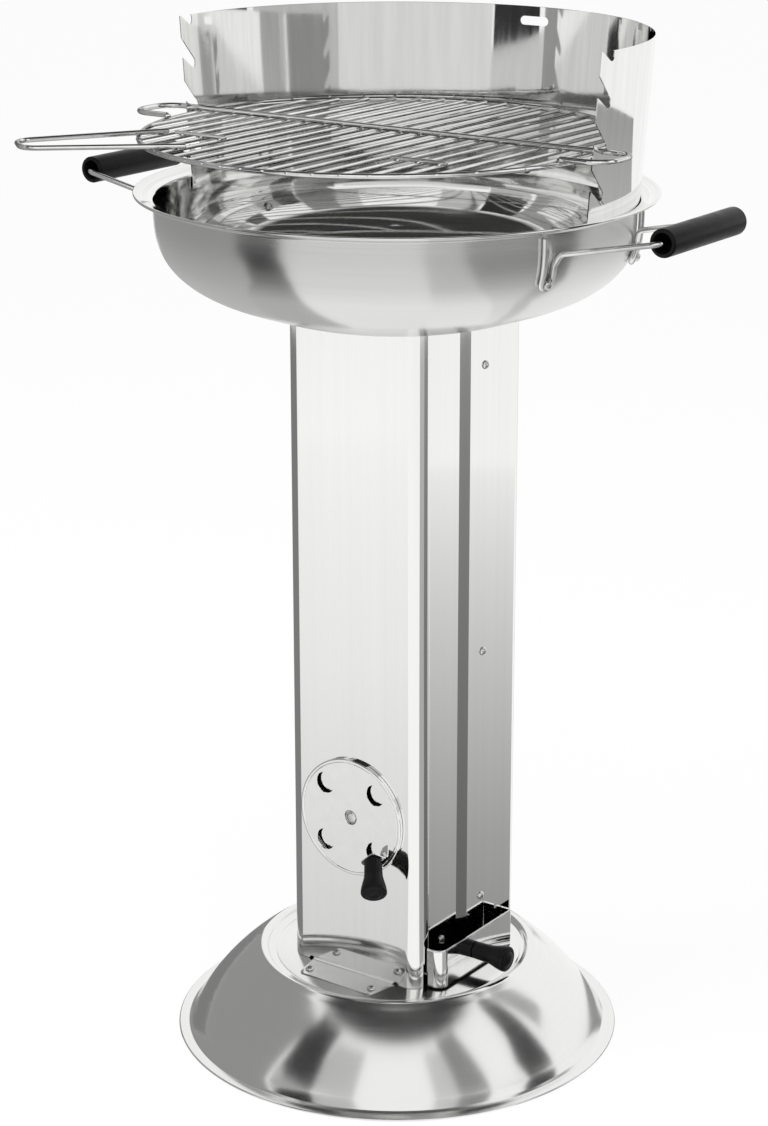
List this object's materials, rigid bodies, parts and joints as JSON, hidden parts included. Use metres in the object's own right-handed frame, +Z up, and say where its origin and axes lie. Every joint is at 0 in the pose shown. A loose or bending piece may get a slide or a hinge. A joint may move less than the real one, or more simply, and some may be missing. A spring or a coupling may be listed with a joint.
{
  "type": "park bbq grill pedestal",
  "caption": "Stainless pedestal charcoal grill with a notched half-round windscreen, a hanging wire grid, a column with vent and an ash drawer.",
  "frame": {"origin": "middle of the footprint's box, on the floor", "axes": "+Z up, -Y towards the vent side, +X towards the ash drawer"},
  "size_m": [0.624, 0.4984, 0.9329],
  "materials": {
    "polished_stainless": "mirror polished",
    "satin_stainless": "satin",
    "chromed_wire": "bright",
    "fastener_steel": "satin",
    "black_plastic": "fine satin"
  },
  "bodies": {
    "grill": {"base_plate": "satin_stainless", "column_front_shell": "polished_stainless", "column_rear_shell": "polished_stainless", "foot_screw_front_left": "fastener_steel", "foot_screw_front_right": "fastener_steel", "foot_screw_rear_left": "fastener_steel", "foot_screw_rear_right": "fastener_steel", "seam_screw_left_1": "fastener_steel", "seam_screw_left_2": "fastener_steel", "seam_screw_left_3": "fastener_steel", "seam_screw_right_1": "fastener_steel", "seam_screw_right_2": "fastener_steel", "seam_screw_right_3": "fastener_steel", "fire_bowl": "satin_stainless", "bowl_screw_front_left": "fastener_steel", "bowl_nut_front_left": "fastener_steel", "bowl_screw_rear_left": "fastener_steel", "bowl_nut_rear_left": "fastener_steel", "bowl_screw_front_right": "fastener_steel", "bowl_nut_front_right": "fastener_steel", "bowl_screw_rear_right": "fastener_steel", "bowl_nut_rear_right": "fastener_steel", "windscreen": "polished_stainless", "screen_screw_1": "fastener_steel", "screen_nut_1": "fastener_steel", "screen_screw_2": "fastener_steel", "screen_nut_2": "fastener_steel", "screen_screw_3": "fastener_steel", "screen_nut_3": "fastener_steel", "handle_frame_left": "chromed_wire", "handle_grip_left": "black_plastic", "handle_frame_right": "chromed_wire", "handle_grip_right": "black_plastic", "handle_screw_left_front": "fastener_steel", "handle_nut_left_front": "fastener_steel", "handle_screw_left_rear": "fastener_steel", "handle_nut_left_rear": "fastener_steel", "handle_screw_right_front": "fastener_steel", "handle_nut_right_front": "fastener_steel", "handle_screw_right_rear": "fastener_steel", "handle_nut_right_rear": "fastener_steel", "vent_rivet": "fastener_steel"},
    "vent": {"vent_disc": "polished_stainless", "vent_knob": "black_plastic", "vent_knob_screw": "fastener_steel"},
    "drawer": {"ash_drawer": "polished_stainless", "drawer_knob": "black_plastic", "drawer_knob_screw": "fastener_steel"},
    "grid": {"cooking_grid": "chromed_wire"},
    "grate": {"charcoal_grate": "chromed_wire"}
  },
  "joints": [
    {"name": "vent_turn", "type": "hinge", "parent": "grill", "child": "vent", "pos_m": [0, -0.05403, 0.2298], "axis": [0, 1, 0], "continuous": true},
    {"name": "drawer_pull", "type": "slide", "parent": "grill", "child": "drawer", "axis": [0.9889, 0, 0.1483], "range_m": [0, 0.08]},
    {"name": "grid_lift", "type": "slide", "parent": "grill", "child": "grid", "axis": [0, -0.63, 0.7766], "range_m": [0, 0.16]},
    {"name": "grate_lift", "type": "slide", "parent": "grill", "child": "grate", "axis": [0, 0, 1], "range_m": [0, 0.06]}
  ]
}
